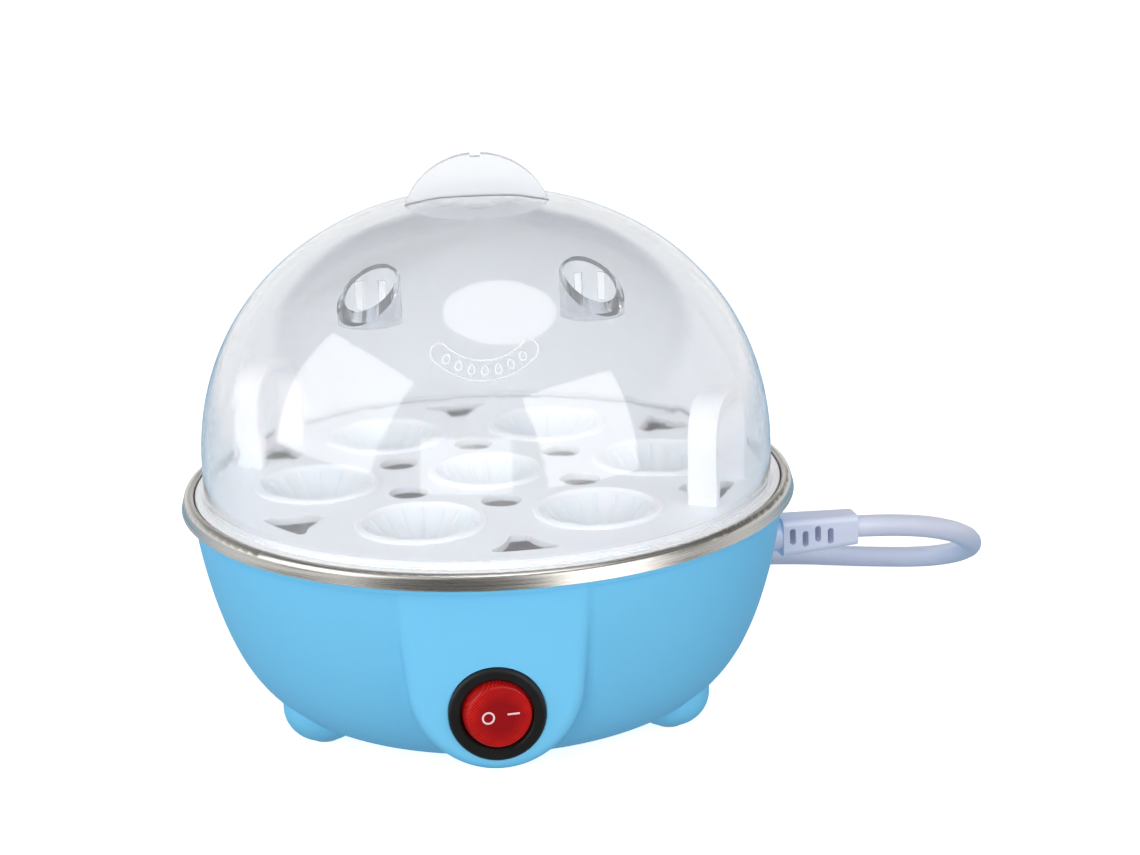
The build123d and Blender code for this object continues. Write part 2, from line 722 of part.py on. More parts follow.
pocket_places = [around(pocket_phase + 60 * k, pocket_ring_radius) for k in range(6)]
with BuildPart() as egg_tray:
    with BuildSketch(Plane.XZ):
        with BuildLine():
            Polyline(
                (0, deck_z - deck_sheet),
                (deck_radius - 2.4, deck_z - deck_sheet),
                (deck_radius - 1.6, pan_ledge_z),
                (flange_radius - 0.3, pan_ledge_z),
                (flange_radius, pan_ledge_z + 0.4),
                (flange_radius, flange_z - 0.4),
                (flange_radius - 0.4, flange_z),
                (deck_radius, flange_z),
                (deck_radius, deck_z - 0.4),
                (deck_radius - 0.4, deck_z),
                (0, deck_z),
                close=True,
            )
        make_face()
    revolve(axis=Axis.Z)
    for places, radius in ((pocket_places, outer_lip_radius), ([(0, 0)], centre_lip_radius)):
        with Locations(*[(x, y, deck_z) for x, y in places]):
            Cylinder(radius - 0.8, 10, mode=Mode.SUBTRACT)
            add(funnel(radius).part)
    for k in range(6):
        with Locations((*around(hole_phase + 60 * k, hole_ring_radius), deck_z)):
            Cylinder(hole_radius, 10, mode=Mode.SUBTRACT)
    for k in range(6):
        with BuildSketch(Plane.XY.offset(deck_z - 4).rotated((0, 0, hole_phase + 60 * k))) as cut:
            with BuildLine():
                ThreePointArc((-10.6, -64.6), (0, -65.5), (10.6, -64.6))
                ThreePointArc((10.6, -64.6), (5.3, -60.2), (2.4, -53.2))
                Line((2.4, -53.2), (-2.4, -53.2))
                ThreePointArc((-2.4, -53.2), (-5.3, -60.2), (-10.6, -64.6))
            make_face()
            fillet(cut.vertices(), 1.3)
        extrude(amount=8, mode=Mode.SUBTRACT)
    for angle in handle_angles:
        x, y = around(angle, handle_ring_radius)
        outward = (*around(angle, 1), 0)
        along = (*around(angle + 90, 1), 0)
        with BuildSketch(Plane(origin=(x, y, deck_z - 0.6), x_dir=along, z_dir=outward)) as arch:
            with Locations((0, handle_height / 2)):
                Rectangle(handle_width, handle_height)
            fillet(arch.vertices().group_by(Axis.Y)[-1], handle_round)
            with Locations((0, (handle_height - handle_sheet) / 2 - 6)):
                RectangleRounded(
                    handle_width - 2 * handle_sheet,
                    handle_height - handle_sheet + 12,
                    handle_round - handle_sheet,
                    mode=Mode.SUBTRACT,
                )
            with Locations((0, -10)):
                Rectangle(60, 20, mode=Mode.SUBTRACT)
        extrude(amount=handle_band / 2, both=True)
save(egg_tray, "egg_tray")

# ---- lid ------------------------------------------------------------------------------------


def dome(inset):
    """Solid dome of the lid, drawn in by inset."""
    radius = lid_radius - inset
    rise = lid_rise - inset
    points = []
    for step in range(10):
        t = math.radians(10 * step)
        points.append(
            (radius * math.cos(t) ** lid_power, lid_skirt_z + rise * math.sin(t) ** lid_power)
        )
    with BuildPart() as form:
        with BuildSketch(Plane.XZ):
            with BuildLine():
                Spline(*points, tangents=((0, 1), (-1, 0)))
                Polyline(points[-1], (0, lid_bottom_z), (radius, lid_bottom_z), points[0])
            make_face()
        revolve(axis=Axis.Z)
    return form


vent_places = [(-vent_x, vent_y), (vent_x, vent_y)]
with BuildPart() as lid_void:
    add(dome(lid_sheet).part)
    with Locations(*[(x, y, vent_floor_z - vent_sheet) for x, y in vent_places]):
        Cylinder(
            vent_radius + vent_sheet,
            40,
            align=(Align.CENTER, Align.CENTER, Align.MIN),
            mode=Mode.SUBTRACT,
        )

with BuildPart() as lid:
    add(dome(0).part)
    with Locations((0, 0, lid_bottom_z)):
        Cylinder(lid_radius + 0.6, 2.0, align=(Align.CENTER, Align.CENTER, Align.MIN))
    with Locations(Location((0, 0, tab_top_z - tab_radius), (90, 0, 0))):
        Cylinder(tab_radius, tab_sheet)
    with Locations((0, 0, tab_top_z)):
        Box(2.6, 10, 1.6, mode=Mode.SUBTRACT)
    with Locations(*[(x, y, vent_floor_z) for x, y in vent_places]):
        Cone(
            vent_radius - 0.8,
            vent_radius,
            16,
            align=(Align.CENTER, Align.CENTER, Align.MIN),
            mode=Mode.SUBTRACT,
        )
    add(lid_void.part, mode=Mode.SUBTRACT)
    # Two tall steam slots stand in the rear wall of each vent cup.
    for side in (-1, 1):
        for spread in (-24, 24):
            turn = Location((side * vent_x, vent_y, vent_floor_z + 1.0), (0, 0, 90 + spread))
            with Locations(turn * Location((vent_radius, 0, 0))):
                Box(6, 2.4, 7.2, align=(Align.CENTER, Align.CENTER, Align.MIN), mode=Mode.SUBTRACT)
save(lid, "lid")
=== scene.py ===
import json
import math

import bmesh
import bpy
from bpy.props import FloatProperty, FloatVectorProperty, IntProperty, PointerProperty
from mathutils import Matrix, Vector

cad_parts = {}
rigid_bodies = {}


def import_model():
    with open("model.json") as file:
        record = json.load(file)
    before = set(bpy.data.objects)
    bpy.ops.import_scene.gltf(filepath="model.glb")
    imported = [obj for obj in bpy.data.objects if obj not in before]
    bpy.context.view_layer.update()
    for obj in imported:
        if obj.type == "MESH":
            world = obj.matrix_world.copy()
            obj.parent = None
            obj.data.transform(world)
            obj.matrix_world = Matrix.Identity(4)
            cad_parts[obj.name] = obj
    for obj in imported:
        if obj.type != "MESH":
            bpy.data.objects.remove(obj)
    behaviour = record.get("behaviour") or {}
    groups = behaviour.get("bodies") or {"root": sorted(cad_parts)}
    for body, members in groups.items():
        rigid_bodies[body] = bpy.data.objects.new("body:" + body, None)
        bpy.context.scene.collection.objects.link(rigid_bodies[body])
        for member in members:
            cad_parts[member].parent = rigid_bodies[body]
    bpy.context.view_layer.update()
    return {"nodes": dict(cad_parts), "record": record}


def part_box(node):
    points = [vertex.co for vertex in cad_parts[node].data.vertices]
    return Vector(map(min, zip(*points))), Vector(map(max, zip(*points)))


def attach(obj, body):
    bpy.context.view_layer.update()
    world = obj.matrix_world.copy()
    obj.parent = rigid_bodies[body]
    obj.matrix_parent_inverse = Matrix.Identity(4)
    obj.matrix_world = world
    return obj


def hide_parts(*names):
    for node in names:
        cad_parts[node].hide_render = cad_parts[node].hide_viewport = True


bl_info = {
    "name": "Seven-egg cooker",
    "version": (1, 0, 0),
    "blender": (4, 5, 0),
    "location": "View3D > Sidebar > Egg cooker",
    "description": "Dresses the packed egg cooker with its lead, marks, finishes and studio",
    "category": "Object",
}

for leftover in list(bpy.data.objects):
    bpy.data.objects.remove(leftover)

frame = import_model()
MM = 0.001
ROCKER_TILT = math.radians(10)  # switched on, with its left side raised


# ---- shared helpers ---------------------------------------------------------------------------


def linear(code):
    """Linear RGBA of an sRGB hex colour."""
    parts = [int(code[i : i + 2], 16) / 255 for i in (0, 2, 4)]
    return (*[p / 12.92 if p <= 0.04045 else ((p + 0.055) / 1.055) ** 2.4 for p in parts], 1.0)


def add_node(tree, kind, feeds=None, **settings):
    """Adds a node, sets its own settings, and feeds its inputs with values or other sockets."""
    made = tree.nodes.new(kind)
    for key, value in settings.items():
        setattr(made, key, value)
    for key, value in (feeds or {}).items():
        if isinstance(value, bpy.types.NodeSocket):
            tree.links.new(value, made.inputs[key])
        else:
            made.inputs[key].default_value = value
    return made


def new_material(name):
    """Empty material with its output, and the surface position that its patterns read."""
    material = bpy.data.materials.new(name)
    material.use_nodes = True
    tree = material.node_tree
    tree.nodes.clear()
    output = add_node(tree, "ShaderNodeOutputMaterial")
    place = add_node(tree, "ShaderNodeTexCoord").outputs["Object"]
    return material, tree, output, place


def piece_from(bm, name, material, body, smooth_angle=35.0):
    """Finished mesh object from a bmesh, riding on a body."""
    bmesh.ops.remove_doubles(bm, verts=bm.verts, dist=1e-7)
    bmesh.ops.recalc_face_normals(bm, faces=bm.faces)
    mesh = bpy.data.meshes.new(name)
    bm.to_mesh(mesh)
    bm.free()
    mesh.shade_smooth()
    mesh.set_sharp_from_angle(angle=math.radians(smooth_angle))
    mesh.materials.append(material)
    piece = bpy.data.objects.new(name, mesh)
    bpy.context.scene.collection.objects.link(piece)
    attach(piece, body)
    return piece


# ---- finishes ---------------------------------------------------------------------------------


def moulded(name, light, dark, blotch_mm, grain_mm, grain_depth_mm, roughness, spread, **sockets):
    """Surface with a slow drift between two shades and a fine grain, as a mould or a die leaves."""
    material, tree, output, place = new_material(name)
    drift = add_node(
        tree, "ShaderNodeTexNoise", {"Vector": place, "Scale": 1000 / blotch_mm, "Detail": 3.0}
    )
    grain = add_node(
        tree, "ShaderNodeTexNoise", {"Vector": place, "Scale": 1000 / grain_mm, "Detail": 2.0}
    )
    shade = add_node(
        tree,
        "ShaderNodeMix",
        {0: drift.outputs["Fac"], 6: linear(dark), 7: linear(light)},
        data_type="RGBA",
    )
    gloss = add_node(
        tree,
        "ShaderNodeMapRange",
        {"Value": drift.outputs["Fac"], "To Min": roughness - spread, "To Max": roughness + spread},
    )
    relief = add_node(
        tree,
        "ShaderNodeBump",
        {"Height": grain.outputs["Fac"], "Distance": grain_depth_mm * MM, "Strength": 0.6},
    )
    shader = add_node(
        tree,
        "ShaderNodeBsdfPrincipled",
        {
            "Base Color": shade.outputs[2],
            "Roughness": gloss.outputs["Result"],
            "Normal": relief.outputs["Normal"],
            **sockets,
        },
    )
    tree.links.new(shader.outputs["BSDF"], output.inputs["Surface"])
    return material


def spun_steel():
    """Spun and brushed stainless steel. Fine rings round the axis stretch every highlight across
    the band into a soft bar and leave faint light and dark hairlines along it."""
    material, tree, output, place = new_material("stainless_steel_spun_and_brushed")
    axes = add_node(tree, "ShaderNodeSeparateXYZ", {"Vector": place})
    flat = add_node(tree, "ShaderNodeCombineXYZ", {"X": axes.outputs["X"], "Y": axes.outputs["Y"]})
    reach = add_node(tree, "ShaderNodeVectorMath", {0: flat.outputs["Vector"]}, operation="LENGTH")
    across = add_node(
        tree, "ShaderNodeMath", {0: axes.outputs["Z"], 1: reach.outputs["Value"]}, operation="ADD"
    )
    # A brush line is about 0.3 mm wide and runs some 40 mm before it fades.
    lines = add_node(
        tree, "ShaderNodeMath", {0: across.outputs["Value"], 1: 1000 / 0.3}, operation="MULTIPLY"
    )
    along = add_node(
        tree,
        "ShaderNodeVectorMath",
        {0: flat.outputs["Vector"], "Scale": 1000 / 40},
        operation="SCALE",
    )
    ends = add_node(tree, "ShaderNodeSeparateXYZ", {"Vector": along.outputs["Vector"]})
    track = add_node(
        tree,
        "ShaderNodeCombineXYZ",
        {"X": ends.outputs["X"], "Y": ends.outputs["Y"], "Z": lines.outputs["Value"]},
    )
    brush = add_node(
        tree, "ShaderNodeTexNoise", {"Vector": track.outputs["Vector"], "Scale": 1.0, "Detail": 4.0}
    )
    shade = add_node(
        tree,
        "ShaderNodeMix",
        {0: brush.outputs["Fac"], 6: linear("9B9690"), 7: linear("D5D2CD")},
        data_type="RGBA",
    )
    gloss = add_node(
        tree,
        "ShaderNodeMapRange",
        {
            "Value": brush.outputs["Fac"],
            "From Min": 0.3,
            "From Max": 0.7,
            "To Min": 0.2,
            "To Max": 0.36,
        },
    )
    relief = add_node(
        tree,
        "ShaderNodeBump",
        {"Height": brush.outputs["Fac"], "Distance": 0.01 * MM, "Strength": 0.5},
    )
    turn = add_node(tree, "ShaderNodeTangent", direction_type="RADIAL", axis="Z")
    shader = add_node(
        tree,
        "ShaderNodeBsdfPrincipled",
        {
            "Base Color": shade.outputs[2],
            "Metallic": 1.0,
            "Roughness": gloss.outputs["Result"],
            "Anisotropic": 0.55,
            "Tangent": turn.outputs["Tangent"],
            "Normal": relief.outputs["Normal"],
        },
    )
    tree.links.new(shader.outputs["BSDF"], output.inputs["Surface"])
    return material


def clear_lid(colour):
    """Injection-moulded polystyrene. It is clear with a slight milkiness, which veils what stands
    inside, and its polished skin mirrors the studio. The grip tab is frosted."""
    material, tree, output, place = new_material("polystyrene_clear_moulded")
    axes = add_node(tree, "ShaderNodeSeparateXYZ", {"Vector": place})
    depth = add_node(tree, "ShaderNodeMath", {0: axes.outputs["Y"]}, operation="ABSOLUTE")
    # The tab is the only part of the lid within 1.5 mm of its middle plane and above the crown.
    thin = add_node(
        tree,
        "ShaderNodeMapRange",
        {
            "Value": depth.outputs["Value"],
            "From Min": 1.5 * MM,
            "From Max": 1.9 * MM,
            "To Min": 1.0,
            "To Max": 0.0,
        },
    )
    high = add_node(
        tree,
        "ShaderNodeMapRange",
        {"Value": axes.outputs["Z"], "From Min": 134.5 * MM, "From Max": 136.5 * MM},
    )
    tab = add_node(
        tree,
        "ShaderNodeMath",
        {0: thin.outputs["Result"], 1: high.outputs["Result"]},
        operation="MULTIPLY",
    )
    haze = add_node(
        tree, "ShaderNodeTexNoise", {"Vector": place, "Scale": 1000 / 35, "Detail": 2.0}
    )
    skin = add_node(
        tree,
        "ShaderNodeMapRange",
        {"Value": haze.outputs["Fac"], "To Min": 0.03, "To Max": 0.09},
    )
    frost = add_node(
        tree,
        "ShaderNodeMix",
        {0: tab.outputs["Value"], 2: skin.outputs["Result"], 3: 0.42},
        data_type="FLOAT",
    )
    clarity = add_node(
        tree,
        "ShaderNodeMapRange",
        {"Value": tab.outputs["Value"], "To Min": 0.9, "To Max": 0.93},
    )
    shader = add_node(
        tree,
        "ShaderNodeBsdfPrincipled",
        {
            "Base Color": (*colour, 1.0),
            "Roughness": frost.outputs[0],
            "IOR": 1.49,
            "Transmission Weight": clarity.outputs["Result"],
        },
    )
    clear = add_node(tree, "ShaderNodeBsdfTransparent", {"Color": (0.93, 0.94, 0.95, 1.0)})
    rays = add_node(tree, "ShaderNodeLightPath")
    both = add_node(
        tree,
        "ShaderNodeMixShader",
        {0: rays.outputs["Is Shadow Ray"], 1: shader.outputs["BSDF"], 2: clear.outputs["BSDF"]},
    )
    tree.links.new(both.outputs["Shader"], output.inputs["Surface"])
    return material


def lit_rocker(hinge, tilt):
    """Translucent red polycarbonate over a waffle of prisms. The light of the switch's lamp behind
    it
    is painted in: a painted glow at its edge, darker in the middle, with a fine grid under a glossy
    skin."""
    material, tree, output, place = new_material("polycarbonate_red_prismatic")
    face = add_node(
        tree,
        "ShaderNodeMapping",
        {"Vector": place, "Location": hinge, "Rotation": (0.0, 0.0, tilt)},
        vector_type="TEXTURE",
    )
    axes = add_node(tree, "ShaderNodeSeparateXYZ", {"Vector": face.outputs["Vector"]})
    grid = []
    for axis in ("X", "Z"):
        # Prisms are 0.5 mm apart, drawn at 0.85 mm so that they still show.
        phase = add_node(
            tree,
            "ShaderNodeMath",
            {0: axes.outputs[axis], 1: math.tau / (0.85 * MM)},
            operation="MULTIPLY",
        )
        grid.append(add_node(tree, "ShaderNodeMath", {0: phase.outputs["Value"]}, operation="SINE"))
    waffle = add_node(
        tree,
        "ShaderNodeMath",
        {0: grid[0].outputs["Value"], 1: grid[1].outputs["Value"]},
        operation="MULTIPLY",
    )
    flat = add_node(
        tree, "ShaderNodeCombineXYZ", {"X": axes.outputs["X"], "Z": axes.outputs["Z"]}
    )
    reach = add_node(tree, "ShaderNodeVectorMath", {0: flat.outputs["Vector"]}, operation="LENGTH")
    patch = add_node(
        tree, "ShaderNodeTexNoise", {"Vector": place, "Scale": 1000 / 3.5, "Detail": 2.0}
    )
    # Painted glow: the red brightens towards the edge of the face, in random patches, standing in
    # for the lamp's light.
    edge = add_node(
        tree,
        "ShaderNodeMapRange",
        {"Value": reach.outputs["Value"], "From Min": 3.6 * MM, "From Max": 6.6 * MM},
    )
    painted_glow = add_node(
        tree,
        "ShaderNodeMath",
        {0: edge.outputs["Result"], 1: patch.outputs["Fac"]},
        operation="MULTIPLY",
    )
    body = add_node(
        tree,
        "ShaderNodeMix",
        {0: painted_glow.outputs["Value"], 6: linear("A00C12"), 7: linear("E8201A")},
        data_type="RGBA",
    )
    mesh = add_node(
        tree,
        "ShaderNodeMapRange",
        {
            "Value": waffle.outputs["Value"],
            "From Min": -0.6,
            "From Max": 0.6,
            "To Min": 0.4,
            "To Max": 1.0,
        },
    )
    shade = add_node(
        tree,
        "ShaderNodeMix",
        {0: mesh.outputs["Result"], 6: linear("4A0608"), 7: body.outputs[2]},
        data_type="RGBA",
    )
    relief = add_node(
        tree,
        "ShaderNodeBump",
        {"Height": waffle.outputs["Value"], "Distance": 0.03 * MM, "Strength": 0.35},
    )
    shader = add_node(
        tree,
        "ShaderNodeBsdfPrincipled",
        {
            "Base Color": shade.outputs[2],
            "Roughness": 0.4,
            "IOR": 1.58,
            "Specular IOR Level": 0.15,
            "Coat Weight": 0.12,
            "Coat Roughness": 0.05,
            # Emission paints the lamp's glow into the rocker's own colour.
            "Emission Color": shade.outputs[2],
            "Emission Strength": 0.1,
            "Normal": relief.outputs["Normal"],
        },
    )
    tree.links.new(shader.outputs["BSDF"], output.inputs["Surface"])
    return material


def woven_tie():
    """Hook-and-loop strap: woven nylon, whose 0.9 mm ribs and fuzz keep it dull."""
    material, tree, output, place = new_material("nylon_hook_and_loop")
    ribs = add_node(
        tree,
        "ShaderNodeTexWave",
        {"Vector": place, "Scale": 1000 / 0.9 / math.tau, "Distortion": 1.5, "Detail": 2.0},
        bands_direction="X",
    )
    fuzz = add_node(
        tree, "ShaderNodeTexNoise", {"Vector": place, "Scale": 1000 / 0.4, "Detail": 4.0}
    )
    height = add_node(
        tree, "ShaderNodeMath", {0: ribs.outputs["Fac"], 1: fuzz.outputs["Fac"]}, operation="ADD"
    )
    relief = add_node(
        tree,
        "ShaderNodeBump",
        {"Height": height.outputs["Value"], "Distance": 0.12 * MM, "Strength": 0.8},
    )
    # Painted shade, partly: the strap is darker where ribs and fuzz are low, in the valleys between
    # the ribs, with random tone from the fuzz.
    shade = add_node(
        tree,
        "ShaderNodeMix",
        {0: height.outputs["Value"], 6: linear("B9BCC2"), 7: linear("E6E8EC")},
        data_type="RGBA",
    )
    shader = add_node(
        tree,
        "ShaderNodeBsdfPrincipled",
        {
            "Base Color": shade.outputs[2],
            "Roughness": 0.85,
            "Sheen Weight": 0.35,
            "Normal": relief.outputs["Normal"],
        },
    )
    tree.links.new(shader.outputs["BSDF"], output.inputs["Surface"])
    return material


def hex_of(colour):
    """sRGB hex code of a linear colour, so that a user's colour can start a finish."""
    code = ""
    for value in colour[:3]:
        s = 12.92 * value if value <= 0.0031308 else 1.055 * value ** (1 / 2.4) - 0.055
        code += f"{round(255 * min(1.0, max(0.0, s))):02X}"
    return code


def darker(code, share):
    """The same hex colour with less light."""
    return "".join(f"{round(int(code[i : i + 2], 16) * share):02X}" for i in (0, 2, 4))


def make_finishes(colours, rocker):
    """Every material of the cooker, by the record's slot name."""
    blue = hex_of(colours.housing)
    white = hex_of(colours.tray)
    lavender = hex_of(colours.lead)
    return {
        # Polypropylene, satin moulded: waxy, even colour, broad soft highlights.
        "sky_blue_pp": moulded(
            "polypropylene_sky_blue_satin", blue, darker(blue, 0.965), 60, 0.5, 0.008, 0.42, 0.04,
            **{"Subsurface Weight": 0.06, "Subsurface Scale": 2 * MM, "Specular IOR Level": 0.22},
        ),
        # Polypropylene, satin moulded in thin white walls: light bleeds through the edges.
        "white_pp": moulded(
            "polypropylene_white_satin", white, darker(white, 0.975), 30, 0.6, 0.006, 0.34, 0.05,
            **{"Subsurface Weight": 0.25, "Subsurface Scale": 3 * MM},
        ),
        "clear_ps": clear_lid(colours.lid),
        "stainless": spun_steel(),
        # Aluminium sheet as pressed: dull grey with rolling haze.
        "aluminium": moulded(
            "aluminium_pressed_sheet", "C9CACC", "A9ABAE", 9, 0.3, 0.01, 0.42, 0.1, Metallic=1.0
        ),
        # Drawn aluminium tube, dulled and yellowed by heat.
        "element_sheath": moulded(
            "aluminium_tube_heat_dulled", "A9A294", "6E6A63", 7, 0.25, 0.015, 0.55, 0.12,
            Metallic=1.0,
        ),
        # Zinc plate: bluish grey with small spangles.
        "zinc_steel": moulded(
            "steel_zinc_plated", "C4C8CC", "9CA1A8", 3, 0.2, 0.008, 0.33, 0.08, Metallic=1.0
        ),
        # Brass with a thin tin flash: pale gold, brighter on the rubbed places.
        "brass": moulded(
            "brass_tin_flashed", "D8C48A", "B39B5E", 4, 0.2, 0.006, 0.3, 0.08, Metallic=1.0
        ),
        # Nylon, spark-eroded texture: black, but grey where the grain catches light.
        "black_nylon": moulded(
            "nylon_black_textured", "1B1B1D", "0D0D0E", 5, 0.32, 0.05, 0.5, 0.06,
            **{"Specular IOR Level": 0.35},
        ),
        "red_pc": lit_rocker(*rocker),
        # Neon lamp glass: thin, warm, a little dirty from its electrodes.
        "lamp_glass": moulded(
            "glass_neon_lamp", "FFB38A", "E0703C", 3, 1.0, 0.004, 0.12, 0.03,
            **{"Transmission Weight": 0.6, "IOR": 1.5},
        ),
        # Phenolic moulding: brown-black, faintly mottled by its filler.
        "bakelite": moulded("phenolic_moulded", "3B2A22", "20160F", 2.5, 0.3, 0.01, 0.36, 0.06),
        # Steatite: dry off-white ceramic.
        "ceramic": moulded("steatite_ceramic", "ECE7DD", "D6D0C4", 3, 0.2, 0.02, 0.62, 0.08),
        # Silicone: soft grey-white, dusty sheen.
        "silicone": moulded("silicone_rubber_grey", "D6D7D9", "C3C5C8", 6, 0.5, 0.01, 0.55, 0.06),
        # Rubber pads: matt grey, scuffed by the worktop.
        "pad_rubber": moulded(
            "rubber_grey_scuffed", "C6C8CC", "9FA2A8", 2.5, 0.35, 0.03, 0.72, 0.1
        ),
        # Soft PVC: lavender, satin, slightly uneven along its length.
        "lead_pvc": moulded(
            "pvc_lavender_satin", lavender, darker(lavender, 0.93), 14, 0.7, 0.012, 0.38, 0.05,
            **{"Subsurface Weight": 0.08, "Subsurface Scale": 1.5 * MM},
        ),
        "tie_nylon": woven_tie(),
        # PVC wire covering: glossy from the extruder.
        "wire_red": moulded("pvc_red_extruded", "C42A22", "A81E18", 8, 0.5, 0.006, 0.3, 0.05),
        "wire_blue": moulded("pvc_blue_extruded", "2F62C0", "244E9E", 8, 0.5, 0.006, 0.3, 0.05),
        # Glass-fibre sleeve, silicone dipped: white with a coarse braid.
        "wire_white": moulded("glass_fibre_sleeve", "EDEBE2", "D2CFC3", 1.2, 0.45, 0.08, 0.6, 0.08),
        # Raised lines on the lid, left frosted by the mould: they scatter light and read white.
        "frosted_ps": moulded(
            "polystyrene_frosted_relief", "F6F8FB", "E6EBF1", 2, 0.3, 0.01, 0.42, 0.06
        ),
        # Pad-printed ink: flat pinkish white over the red.
        "print_ink": moulded("pad_print_white", "FBDCE2", "F2C3CC", 2, 0.3, 0.004, 0.5, 0.05),
    }


# ---- settings ---------------------------------------------------------------------------------


class CookerColours(bpy.types.PropertyGroup):
    housing: FloatVectorProperty(
        name="Housing", description="Colour of the moulded housing", subtype="COLOR", size=3,
        min=0, max=1, default=linear("79CFFA")[:3],
    )
    tray: FloatVectorProperty(
        name="Tray", description="Colour of the egg tray", subtype="COLOR", size=3,
        min=0, max=1, default=linear("FAF8FA")[:3],
    )
    lid: FloatVectorProperty(
        name="Lid", description="Tint of the clear lid", subtype="COLOR", size=3,
        min=0, max=1, default=linear("E4E6E9")[:3],
    )
    lead: FloatVectorProperty(
        name="Lead", description="Colour of the mains lead and its plug", subtype="COLOR", size=3,
        min=0, max=1, default=linear("E2E7FC")[:3],
    )


class CookerLead(bpy.types.PropertyGroup):
    diameter: FloatProperty(
        name="Diameter", description="Outer diameter of the lead", default=6 * MM,
        min=2 * MM, subtype="DISTANCE", unit="LENGTH",
    )
    length: FloatProperty(
        name="Length", description="Length of the lead from its sleeve to the plug", default=0.84,
        min=0.3, subtype="DISTANCE", unit="LENGTH",
    )
    turns: IntProperty(
        name="Turns", description="Turns of the put-away coil", default=3, min=3, max=3
    )


class CookerMarks(bpy.types.PropertyGroup):
    print_thickness: FloatProperty(
        name="Print", description="Thickness of the printed switch marks", default=0.06 * MM,
        min=0, subtype="DISTANCE", unit="LENGTH",
    )
    badge_relief: FloatProperty(
        name="Badge relief", description="Radius of the raised lines on the lid", default=0.22 * MM,
        min=0, subtype="DISTANCE", unit="LENGTH",
    )
    rib_count: IntProperty(
        name="Pocket ribs", description="Ribs on the wall of each egg pocket", default=16,
        min=3, max=40,
    )


class CookerStage(bpy.types.PropertyGroup):
    elevation: FloatProperty(
        name="Elevation", description="Camera height above the horizon",
        default=math.radians(17.59), subtype="ANGLE", unit="ROTATION",
    )
    distance: FloatProperty(
        name="Distance", description="Camera distance from the steel rim's centre", default=0.8,
        min=0.2, subtype="DISTANCE", unit="LENGTH",
    )
    lens: FloatProperty(
        name="Lens", description="Focal length in millimetres", default=96.25, min=10
    )
    roll: FloatProperty(
        name="Roll", description="Turn of the camera about its own axis",
        default=math.radians(2.33), subtype="ANGLE", unit="ROTATION",
    )
    floor_size: FloatProperty(
        name="Floor", description="Width of the studio floor", default=24.0, min=1,
        subtype="DISTANCE", unit="LENGTH",
    )


class CookerSettings(bpy.types.PropertyGroup):
    colours: PointerProperty(type=CookerColours)
    lead: PointerProperty(type=CookerLead)
    marks: PointerProperty(type=CookerMarks)
    stage: PointerProperty(type=CookerStage)


def finish_of(context, slot):
    """The material of a slot. The first call makes them all."""
    made = bpy.types.Scene.cooker_finishes
    if not made:
        pin_low, pin_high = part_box("rocker_pin")
        hinge = (pin_low + pin_high) / 2
        made.update(make_finishes(context.scene.cooker.colours, (hinge, ROCKER_TILT)))
    return made[slot]


# ---- lead -------------------------------------------------------------------------------------

# Points of the lead from its sleeve down to the floor and round to the back, in millimetres.
LEAD_ROUTE = (
    (98.79, 21.0, 36.0),
    (114.0, 24.5, 35.0),
    (131.0, 36.0, 28.0),
    (138.0, 55.0, 17.0),
    (130.0, 76.0, 7.0),
    (112.0, 90.0, 3.0),
    (88.0, 96.0, 3.0),
    (64.0, 96.0, 3.0),
)
COIL_CENTRE = (30.0, 132.0)
OUTER_TURN = 36.0
INNER_TURN = 30.0
TOP_TURN = 35.6
STACK_Z = 9.0
NESTLE = 0.8
FLOOR_Z = 3.0
PLUG_TAIL = (-8.0, 99.0, 9.0)


def ease(value, start, end):
    """0 before start, 1 after end, smooth in between."""
    share = min(1.0, max(0.0, (value - start) / (end - start)))
    return share * share * (3 - 2 * share)


def coil_points(turns):
    """Corners round the coil, 12 to a turn: out, in beside it, then up on top of both."""
    points = []
    for step in range(12 * turns):
        angle = 15 + 30 * step
        radius = OUTER_TURN + (INNER_TURN - OUTER_TURN) * ease(angle, 275, 355)
        radius += (TOP_TURN - INNER_TURN) * ease(angle, 800, 980)
        height = FLOOR_Z + (STACK_Z - FLOOR_Z) * ease(angle, 560, 645)
        height -= NESTLE * (ease(angle, 800, 870) - ease(angle, 930, 1000))
        turn = math.radians(angle)
        # Corners stand outside the turn, so that the smooth line between them has its radius.
        corner = radius / math.cos(math.radians(15))
        x, y = COIL_CENTRE
        points.append((x - corner * math.sin(turn), y - corner * math.cos(turn), height))
    return points


class COOKER_OT_lead(bpy.types.Operator):
    """Make the mains lead with its put-away coil"""

    bl_idname = "cooker.lead"
    bl_label = "Lead"

    def execute(self, context):
        settings = context.scene.cooker.lead
        points = [
            *LEAD_ROUTE,
            (47.0, COIL_CENTRE[1] - OUTER_TURN, FLOOR_Z),
            *coil_points(settings.turns),
            (10.0, 97.2, STACK_Z),
            (2.0, 98.6, STACK_Z),
            PLUG_TAIL,
        ]
        curve = bpy.data.curves.new("lead_cord", "CURVE")
        curve.dimensions = "3D"
        curve.bevel_depth = settings.diameter / 2
        curve.bevel_resolution = 5
        curve.use_fill_caps = True
        spline = curve.splines.new("NURBS")
        spline.points.add(len(points) - 1)
        for place, point in zip(spline.points, points):
            place.co = (*[value * MM for value in point], 1.0)
        spline.order_u = 3
        spline.use_endpoint_u = True
        spline.resolution_u = 8
        curve.materials.append(finish_of(context, "lead_pvc"))
        cord = bpy.data.objects.new("lead_cord", curve)
        context.scene.collection.objects.link(cord)
        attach(cord, "base")
        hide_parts("cord_tube", "cord_coil")
        return {"FINISHED"}


